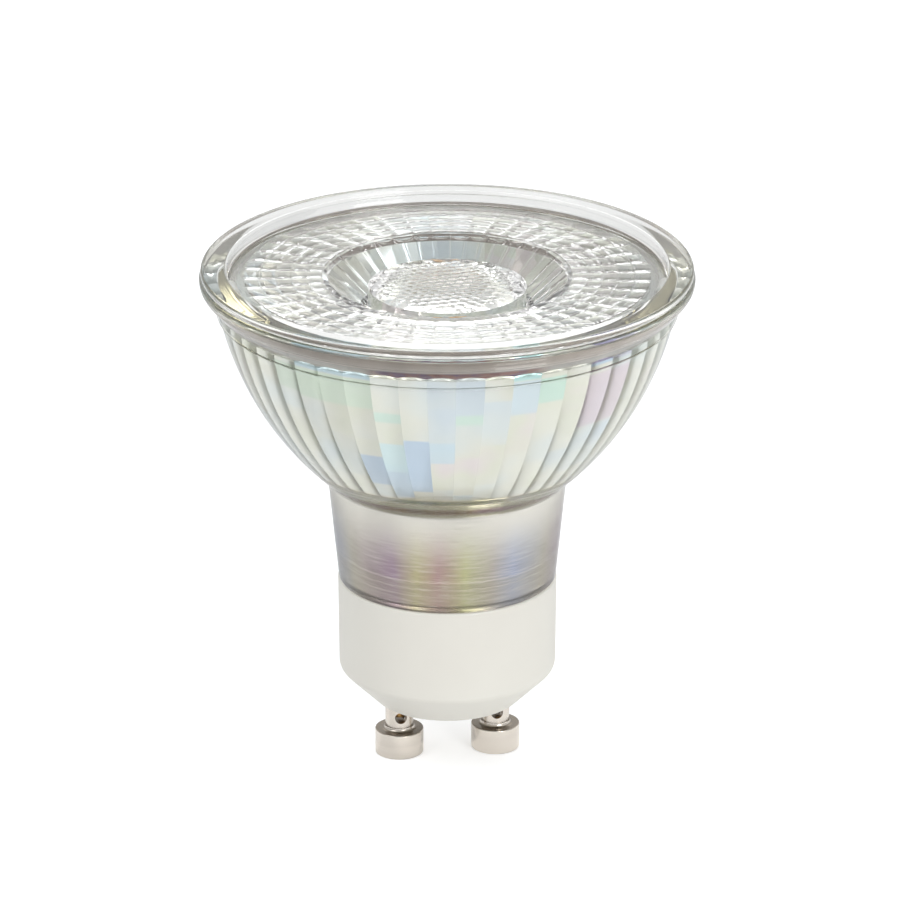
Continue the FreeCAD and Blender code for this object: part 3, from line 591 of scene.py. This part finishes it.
class Nodes:
    """Node tree with short calls for the nodes that the finishes and the studio share."""

    def __init__(self, tree):
        self.nodes = tree.nodes
        self.links = tree.links

    def feed(self, value, socket):
        """Link a socket or set a plain value."""
        if isinstance(value, bpy.types.NodeSocket):
            self.links.new(value, socket)
        else:
            socket.default_value = value

    def math(self, operation, *values):
        node = self.nodes.new("ShaderNodeMath")
        node.operation = operation
        for value, socket in zip(values, node.inputs):
            self.feed(value, socket)
        return node.outputs[0]

    def times(self, first, second):
        return self.math("MULTIPLY", first, second)

    def axes(self, kind="Object"):
        """The x, y and z of a texture coordinate."""
        where = self.nodes.new("ShaderNodeTexCoord")
        split = self.nodes.new("ShaderNodeSeparateXYZ")
        self.links.new(where.outputs[kind], split.inputs["Vector"])
        return split.outputs

    def turn(self, x, y):
        """Angle about the axis from the front, in degrees."""
        return self.times(self.math("ARCTAN2", x, self.times(y, -1.0)), 180 / math.pi)

    def polar(self):
        """Angle about the axis from the front, in degrees, and height in millimetres."""
        x, y, z = self.axes()
        return self.turn(x, y), self.times(z, 1000.0)

    def ray(self, *kinds):
        """1 for the kinds of ray that are named, else 0."""
        path = self.nodes.new("ShaderNodeLightPath")
        total = path.outputs[kinds[0]]
        for kind in kinds[1:]:
            total = self.math("MAXIMUM", total, path.outputs[kind])
        return total

    def join(self, x, y=0.0, z=0.0):
        node = self.nodes.new("ShaderNodeCombineXYZ")
        for value, socket in zip((x, y, z), node.inputs):
            self.feed(value, socket)
        return node.outputs["Vector"]

    def noise_at(self, vector, scale, detail):
        texture = self.nodes.new("ShaderNodeTexNoise")
        texture.inputs["Scale"].default_value = scale
        texture.inputs["Detail"].default_value = detail
        self.links.new(vector, texture.inputs["Vector"])
        return texture.outputs["Fac"]

    def noise(self, scale, detail=3.0, stretch=(1, 1, 1)):
        """Noise in the object's own space."""
        where = self.nodes.new("ShaderNodeTexCoord")
        mapping = self.nodes.new("ShaderNodeMapping")
        mapping.inputs["Scale"].default_value = stretch
        self.links.new(where.outputs["Object"], mapping.inputs["Vector"])
        return self.noise_at(mapping.outputs["Vector"], scale, detail)

    def wall_noise(self, wall, shares, detail, scale=1.0):
        """Noise over the wall's angle and height, each stretched by its share."""
        spot = self.join(*(self.times(value, share) for value, share in zip(wall, shares)))
        return self.noise_at(spot, scale, detail)

    def ramp(self, source, stops):
        node = self.nodes.new("ShaderNodeValToRGB")
        elements = node.color_ramp.elements
        while len(elements) < len(stops):
            elements.new(0.5)
        for element, (spot, colour) in zip(elements, stops):
            element.position = spot
            element.color = (*colour, 1)
        self.links.new(source, node.inputs["Fac"])
        return node.outputs["Color"]

    def fade(self, source, low, high, first=0.0, last=1.0):
        """Value that goes smoothly from first to last while the source goes from low to high."""
        node = self.nodes.new("ShaderNodeMapRange")
        node.interpolation_type = "SMOOTHSTEP"
        node.inputs["From Min"].default_value = low
        node.inputs["From Max"].default_value = high
        node.inputs["To Min"].default_value = first
        node.inputs["To Max"].default_value = last
        self.links.new(source, node.inputs["Value"])
        return node.outputs["Result"]

    def within(self, source, low, high, blur):
        """1 where the source lies between two values, with soft ends."""
        rise = self.fade(source, low - blur, low + blur)
        return self.times(rise, self.fade(source, high - blur, high + blur, 1.0, 0.0))

    def mix(self, share, first, second, mode="MIX"):
        node = self.nodes.new("ShaderNodeMix")
        node.data_type = "RGBA"
        node.blend_type = mode
        self.feed(share, node.inputs["Factor"])
        for value, name in ((first, "A"), (second, "B")):
            socket = [i for i in node.inputs if i.name == name and i.type == "RGBA"][0]
            self.feed((*value, 1) if isinstance(value, tuple) else value, socket)
        return [o for o in node.outputs if o.type == "RGBA"][0]


class Material(Nodes):
    """New material with a principled shader."""

    def __init__(self, name):
        self.material = bpy.data.materials.new(name)
        self.material.use_nodes = True
        super().__init__(self.material.node_tree)
        self.shader = self.nodes["Principled BSDF"]

    def put(self, name, value):
        """Link or set an input of the shader."""
        self.feed(value, self.shader.inputs[name])

    def bump(self, height, strength, depth_mm):
        node = self.nodes.new("ShaderNodeBump")
        node.inputs["Strength"].default_value = strength
        node.inputs["Distance"].default_value = depth_mm * MM
        self.links.new(height, node.inputs["Height"])
        self.put("Normal", node.outputs["Normal"])


def surface(name, low, high, scale, rough, metallic=0.0, bump_strength=0.1, bump_mm=0.02,
            stretch=(1, 1, 1), transmission=0.0):
    """Finish with a colour that drifts between two tones, varied roughness and a fine bump."""
    finish = Material(name)
    drift = finish.noise(scale, 4.0, stretch)
    finish.put("Base Color", finish.ramp(drift, ((0.35, low), (0.65, high))))
    finish.put("Roughness", finish.fade(drift, 0.3, 0.7, *rough))
    finish.put("Metallic", metallic)
    finish.put("Transmission Weight", transmission)
    finish.bump(finish.noise(scale * 6, 2.0, stretch), bump_strength, bump_mm)
    return finish.material


def clear_finish(name, tint, ior, wave_scale, wave_strength):
    """Clear finish with a faintly varied tint and shallow waves."""
    finish = Material(name)
    finish.put("Transmission Weight", 1.0)
    finish.put("IOR", ior)
    finish.put("Roughness", 0.0)
    low = tuple(c * 0.985 for c in tint)
    finish.put("Base Color", finish.ramp(finish.noise(60, 2.0), ((0.3, low), (0.7, tint))))
    finish.bump(finish.noise(wave_scale, 1.0), wave_strength, WAVE_MM)
    return finish


def glass_material():
    """Pressed glass: chill waves, and an olive tint that deepens with its thickness."""
    finish = clear_finish("pressed_glass", (0.975, 0.975, 0.97), 1.52, 90, 0.1)
    node = finish.nodes.new("ShaderNodeVolumeAbsorption")
    node.inputs["Color"].default_value = (*GLASS_TINT, 1)
    node.inputs["Density"].default_value = GLASS_DENSITY
    finish.links.new(node.outputs["Volume"], finish.nodes["Material Output"].inputs["Volume"])
    return finish.material


def pearl_colour(finish, wall):
    """Pastel coat: it drifts along the bowl, steps from flute to flute and has panels of painted
    reflection.
    """
    angle, height = wall
    flute = finish.math("DIVIDE", finish.math("SUBTRACT", angle, CUSP_TURN), FLUTE_STEP)
    flute = finish.math("FLOOR", flute)
    jump = finish.nodes.new("ShaderNodeTexWhiteNoise")
    jump.noise_dimensions = "1D"
    finish.links.new(flute, jump.inputs["W"])
    block = finish.math("ADD", height, finish.times(jump.outputs["Value"], BLOCK_JUMP_MM))
    block = finish.math("FLOOR", finish.math("DIVIDE", block, BLOCK_MM))
    blocks = finish.wall_noise((flute, block), (0.21, 0.6), 1.0, scale=1.6)
    drift = finish.wall_noise(wall, (0.035, 0.12), 2.0)
    value = finish.math("ADD", finish.times(blocks, 0.4), finish.times(drift, 0.6))
    colour = finish.ramp(value, PEARL)
    # Panels of painted reflection on chosen flutes
    for first, count, low, high, reflected_tint in REFLECTION_PANELS:
        across = finish.math("COMPARE", flute, first + (count - 1) / 2, count / 2)
        share = finish.times(across, finish.within(height, low, high, REFLECTION_PANEL_BLUR))
        colour = finish.mix(finish.times(share, REFLECTION_PANEL_SHARE), colour, reflected_tint)
    return colour


def neck_colour(finish, wall, colour):
    """Iridescent film in the neck with painted reflection in it, painted glints and painted shade
    streaked along its turn, darker towards the bottom as painted shade, between a collar and a
    dull band.
    """
    angle, height = wall
    warp = finish.wall_noise(wall, (0.05, 0.12), 1.0)
    film = finish.math("ADD", finish.times(angle, 1 / FILM_TURN), FILM_START)
    film = finish.math("ADD", film, finish.times(warp, FILM_WARP))
    # Film with painted reflection fades in downwards: painted shade, darker towards the bottom
    film_shade_share = finish.fade(height, *FILM_SHADE_Z, 1.0, 0.0)
    colour = finish.mix(film_shade_share, BARE_NECK, finish.ramp(finish.math("FRACT", film), FILM_AND_REFLECTION))
    # Painted glints and painted shade streaked along the turn
    fine = finish.wall_noise(wall, (0.07, 4.6), 2.0)
    painted_glint_share = finish.times(finish.fade(fine, 0.50, 0.66, 0.0, 0.32), film_shade_share)
    colour = finish.mix(painted_glint_share, colour, PAINTED_GLINT)
    painted_shade_share = finish.times(finish.fade(fine, 0.34, 0.48, 0.28, 0.0), film_shade_share)
    colour = finish.mix(painted_shade_share, colour, PAINTED_SHADE)
    colour = finish.mix(finish.fade(height, *COLLAR_Z, 0.0, 0.8), colour, COLLAR)
    rose_share = finish.times(finish.within(height, *ROSE_Z, 0.3), 0.9)
    colour = finish.mix(rose_share, colour, finish.ramp(warp, ROSE))
    dull_share = finish.times(finish.fade(height, *DULL_Z, 1.0, 0.0), 0.35)
    colour = finish.mix(dull_share, colour, DULL)
    wander = finish.times(finish.wall_noise(wall, (0.2,), 3.0), 0.5)
    line_z = finish.math("SUBTRACT", height, wander)
    for level, share in PALE_LINES:
        pale = finish.within(line_z, level, level + LINE_MM, 0.05)
        colour = finish.mix(finish.times(pale, share), colour, PALE_LINE)
    return colour


def coat_material(name, neck=False):
    """Reflective coat on the inside of the glass."""
    finish = Material(name)
    wall = finish.polar()
    colour = pearl_colour(finish, wall)
    if neck:
        colour = neck_colour(finish, wall, colour)
    else:
        olive = finish.ramp(finish.wall_noise(wall, (0.07,), 1.0), OLIVE)
        colour = finish.mix(finish.fade(wall[1], *OLIVE_Z, 0.8, 0.0), colour, olive)
    finish.put("Base Color", colour)
    finish.put("Metallic", 0.72)
    finish.put("Roughness", 0.22 if neck else 0.12)
    ripple = finish.noise(200, 2.0, (1.2, 1.2, 14.0) if neck else (1, 1, 1))
    finish.bump(ripple, 0.5 if neck else 0.07, 0.03)
    return finish.material


def front_brown_strip():
    """Strip between the lens seat and the arches: brown, dark red and violet over its front, pale
    elsewhere.
    """
    finish = Material("front_brown_strip")
    wall = finish.polar()
    patches = finish.wall_noise(wall, (0.13, 0.8), 3.0)
    share = finish.within(wall[0], *STRIP_TURN, 4.0)
    share = finish.times(share, finish.fade(wall[1], *STRIP_Z, 1.0, 0.45))
    finish.put("Base Color", finish.mix(share, STRIP_PALE, finish.ramp(patches, STRIP_BROWN)))
    finish.put("Roughness", finish.fade(patches, 0.3, 0.7, 0.2, 0.4))
    finish.put("Metallic", 0.2)
    return finish.material


def nickel_material():
    """Turned nickel plate: fine turning marks, with painted shade on the faces that look up or
    down.
    """
    finish = Material("nickel_plate")
    drift = finish.noise(900, 4.0, TURNED)
    facing = finish.axes("Normal")["Z"]
    # Painted shade on faces that look up or down
    shaded_faces = finish.fade(finish.math("ABSOLUTE", facing), 0.5, 0.95)
    colour = finish.ramp(drift, NICKEL_TONES)
    finish.put("Base Color", finish.mix(finish.times(shaded_faces, 0.95), colour, NICKEL_PAINTED_SHADE))
    finish.put("Roughness", finish.fade(drift, 0.3, 0.7, 0.18, 0.28))
    finish.put("Metallic", 1.0)
    finish.bump(finish.noise(5400, 2.0, TURNED), 0.25, 0.01)
    return finish.material


GLASS = glass_material()
LENS = clear_finish("lens_plastic", (1.0, 1.0, 1.0), 1.49, 70, 0.03).material
COAT = coat_material("pearl_coat")
NECK_COAT = coat_material("neck_coat", neck=True)
STRIP = front_brown_strip()
LENS_EDGE = surface("lens_edge", tone(180, 169, 160), tone(196, 185, 176), 300, (0.5, 0.6))
SILICONE = surface("silicone", tone(226, 225, 216), tone(238, 237, 230), 300, (0.3, 0.4),
                   transmission=0.35)
BASE = surface("base_plastic", tone(224, 220, 210), tone(229, 226, 216), 45, (0.42, 0.52),
               bump_strength=0.12, bump_mm=0.03)
NICKEL = nickel_material()
ALUMINIUM = surface("cast_aluminium", (0.6, 0.6, 0.61), (0.72, 0.72, 0.73), 300, (0.3, 0.45), 1.0)
MASK = surface("white_mask", (0.74, 0.74, 0.72), (0.8, 0.8, 0.78), 200, (0.3, 0.4))
WHITE = surface("white_moulding", (0.72, 0.72, 0.7), (0.78, 0.78, 0.75), 300, (0.4, 0.5))
PHOSPHOR = surface("phosphor", (0.85, 0.38, 0.04), (0.95, 0.48, 0.07), 900, (0.35, 0.45))
TINNED = surface("tinned_wire", (0.6, 0.59, 0.57), (0.7, 0.69, 0.67), 500, (0.25, 0.35), 1.0)
LAMINATE = surface("board_laminate", (0.02, 0.14, 0.05), (0.03, 0.18, 0.07), 250, (0.35, 0.5))
SLEEVE = surface("capacitor_sleeve", (0.015, 0.018, 0.03), (0.025, 0.03, 0.045), 120, (0.25, 0.35))
FERRITE = surface("ferrite", (0.03, 0.03, 0.035), (0.05, 0.05, 0.055), 500, (0.6, 0.75))
COPPER = surface("copper_winding", (0.55, 0.2, 0.09), (0.68, 0.28, 0.13), 900, (0.25, 0.35), 1.0,
                 stretch=(1, 8, 1))
RESISTOR = surface("resistor_body", (0.2, 0.32, 0.24), (0.26, 0.38, 0.29), 300, (0.4, 0.5))
EPOXY = surface("black_epoxy", (0.012, 0.012, 0.013), (0.02, 0.02, 0.022), 500, (0.45, 0.6))
BRONZE = surface("bronze_wire", (0.35, 0.2, 0.07), (0.5, 0.3, 0.12), 600, (0.25, 0.4), 1.0)

FINISH = {
    "lens_adhesive": SILICONE, "led_board": MASK, "led_packages": WHITE,
    "led_phosphors": PHOSPHOR, "heat_sink": ALUMINIUM, "lead_bushes": WHITE,
    "supply_pin_left": TINNED, "supply_pin_right": TINNED, "supply_solder": TINNED,
    "driver_board": LAMINATE, "bulk_capacitor": SLEEVE, "output_capacitor": SLEEVE,
    "inductor_core": FERRITE, "inductor_winding": COPPER, "fusible_resistor": RESISTOR,
    "bridge_rectifier": EPOXY, "driver_chip": EPOXY, "chip_resistors": EPOXY,
    "live_lead": BRONZE, "neutral_lead": BRONZE, "base": BASE, "pin_left": NICKEL,
    "pin_right": NICKEL,
}
for node, material in FINISH.items():
    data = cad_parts[node].data
    data.materials.clear()
    data.materials.append(material)
    data.shade_smooth()
    data.set_sharp_from_angle(angle=math.radians(FRAME_SHARP))

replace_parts(build_reflector((GLASS, COAT, NECK_COAT, STRIP)), "glass_reflector")
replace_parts(build_lens((LENS, LENS_EDGE)), "front_lens")


# Studio

def build_floor():
    """Pale sheet; mirrors and glass see painted shade on it at the sides and in front."""
    mesh = bpy.data.meshes.new("floor")
    corners = [(-FLOOR_HALF, -FLOOR_HALF, 0), (FLOOR_HALF, -FLOOR_HALF, 0),
               (FLOOR_HALF, FLOOR_HALF, 0), (-FLOOR_HALF, FLOOR_HALF, 0)]
    mesh.from_pydata(corners, [], [(0, 1, 2, 3)])
    floor = bpy.data.objects.new("floor", mesh)
    bpy.context.scene.collection.objects.link(floor)
    kit = Material("floor")
    x, y, _ = kit.axes()
    turn = kit.math("ADD", kit.turn(x, y), CAMERA_TURN)
    aside = kit.math("ABSOLUTE", turn)
    # Its level as mirrors and glass see it is painted shade: darker by direction from the lamp, in
    # front and far left
    left = kit.fade(turn, -60, -25, 0.78, 1.0)
    level = kit.math("MAXIMUM", left, kit.fade(aside, 50, 90, 0.0, 0.9))
    level = kit.times(level, kit.fade(aside, 110, 150, 1.0, 0.7))
    level = kit.times(level, kit.fade(y, -0.11, -0.045, 0.42, 1.0))
    level = kit.times(level, kit.fade(x, -0.42, -0.12, 0.3, 1.0))
    sharp = kit.ray("Is Glossy Ray", "Is Transmission Ray")
    seen = kit.math("MAXIMUM", sharp, kit.ray("Is Camera Ray"))
    # Painted shade that only mirrors and glass see
    painted_mirror_shade = kit.join(level, level, level)
    pale = kit.ramp(kit.noise(3.0), ((0.3, (0.88, 0.88, 0.88)), (0.7, (0.90, 0.90, 0.90))))
    kit.put("Base Color", kit.mix(sharp, pale, kit.mix(1.0, pale, painted_mirror_shade, "MULTIPLY")))
    kit.put("Roughness", 0.9)
    kit.put("Specular IOR Level", 0.1)
    glow = kit.nodes.new("ShaderNodeEmission")
    kit.feed(kit.mix(sharp, (1.0, 1.0, 1.0), painted_mirror_shade), glow.inputs["Color"])
    strength = kit.math("ADD", FLOOR_GLOW, kit.times(sharp, MIRRORED_GLOW - FLOOR_GLOW))
    kit.feed(kit.times(seen, strength), glow.inputs["Strength"])
    both = kit.nodes.new("ShaderNodeAddShader")
    kit.links.new(kit.shader.outputs["BSDF"], both.inputs[0])
    kit.links.new(glow.outputs["Emission"], both.inputs[1])
    kit.links.new(both.outputs["Shader"], kit.nodes["Material Output"].inputs["Surface"])
    mesh.materials.append(kit.material)


def build_world():
    """White behind the lamp; darker in front of it and at its sides where glass mirrors it."""
    world = bpy.data.worlds.new("studio")
    bpy.context.scene.world = world
    world.use_nodes = True
    kit = Nodes(world.node_tree)
    kit.nodes.clear()

    def background(colour, strength):
        node = kit.nodes.new("ShaderNodeBackground")
        kit.feed(colour, node.inputs["Color"])
        node.inputs["Strength"].default_value = strength
        return node.outputs["Background"]

    def choose(share, first, second):
        node = kit.nodes.new("ShaderNodeMixShader")
        for value, socket in zip((share, first, second), node.inputs):
            kit.links.new(value, socket)
        return node.outputs["Shader"]

    x, y, z = kit.axes("Generated")
    level = kit.fade(y, -0.35, 0.35, 0.6, 1.0)
    level = kit.times(level, kit.fade(x, -0.95, -0.5, 0.6, 1.0))
    level = kit.math("MAXIMUM", level, kit.fade(z, 0.3, 0.6, 0.0, 1.0))
    mirrored = background(kit.join(level, level, level), 1.0)
    ambient = background(AMBIENT_TINT, AMBIENT)
    light = choose(kit.ray("Is Glossy Ray", "Is Transmission Ray"), ambient, mirrored)
    light = choose(kit.ray("Is Camera Ray"), light, background(WHITE_LIGHT, 1.0))
    out = kit.nodes.new("ShaderNodeOutputWorld")
    kit.links.new(light, out.inputs["Surface"])


def softbox(name, place, size, power):
    """Area light that faces the lamp."""
    light = bpy.data.lights.new(name, "AREA")
    light.shape = "RECTANGLE"
    light.size, light.size_y = size
    light.energy = power
    lamp = bpy.data.objects.new(name, light)
    lamp.location = place
    lamp.rotation_euler = (Vector(LIGHT_AIM) - Vector(place)).to_track_quat("-Z", "Y").to_euler()
    bpy.context.scene.collection.objects.link(lamp)


def build_camera():
    """Camera at the photograph's viewing angle."""
    elevation = math.radians(CAMERA_RISE)
    azimuth = math.radians(CAMERA_TURN)
    ahead = Vector((math.sin(azimuth), math.cos(azimuth), 0))
    side = Vector((math.cos(azimuth), -math.sin(azimuth), 0))
    look = ahead * math.cos(elevation) - Vector((0, 0, 1)) * math.sin(elevation)
    up = side.cross(look)
    target = Vector((0, 0, TARGET_Z * MM))
    place = target - look * CAMERA_DISTANCE
    aside, above = (offset / FOCAL_PX * CAMERA_DISTANCE for offset in OFFSET_PX)
    aim = target + side * aside + up * above
    camera = bpy.data.cameras.new("camera")
    camera.lens = SENSOR_MM * FOCAL_PX / PHOTO_PX
    camera.sensor_width = SENSOR_MM
    camera.clip_start = 0.01
    rig = bpy.data.objects.new("camera", camera)
    rig.location = place
    rig.rotation_euler = (aim - place).to_track_quat("-Z", "Y").to_euler()
    bpy.context.scene.collection.objects.link(rig)
    bpy.context.scene.camera = rig


build_floor()
build_world()
build_camera()
for box in SOFTBOXES:
    softbox(*box)

scene = bpy.context.scene
scene.view_settings.view_transform = "Standard"
scene.cycles.max_bounces = 28
scene.cycles.transmission_bounces = 24
scene.cycles.glossy_bounces = 12
scene.cycles.transparent_max_bounces = 12
